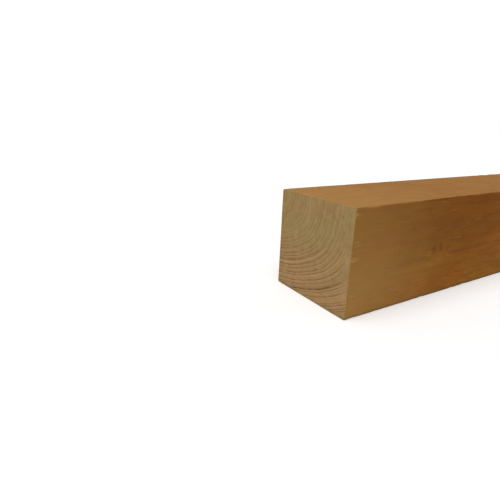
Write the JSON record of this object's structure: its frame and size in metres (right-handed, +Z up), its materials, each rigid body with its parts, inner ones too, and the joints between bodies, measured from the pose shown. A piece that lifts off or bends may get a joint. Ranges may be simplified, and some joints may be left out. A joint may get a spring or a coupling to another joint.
{
  "type": "garden post",
  "caption": "Square garden post of rough-sawn softwood in one solid length, with square cross-cut ends and slightly worn arrises.",
  "frame": {"origin": "middle of the long face that the post lies on", "axes": "+X along the grain towards the head end, +Z up from the face it lies on, +Y towards the back face"},
  "size_m": [1.8, 0.15, 0.15],
  "materials": {
    "sawn_timber": "matte"
  },
  "bodies": {
    "root": {"timber_post": "sawn_timber"}
  },
  "joints": []
}
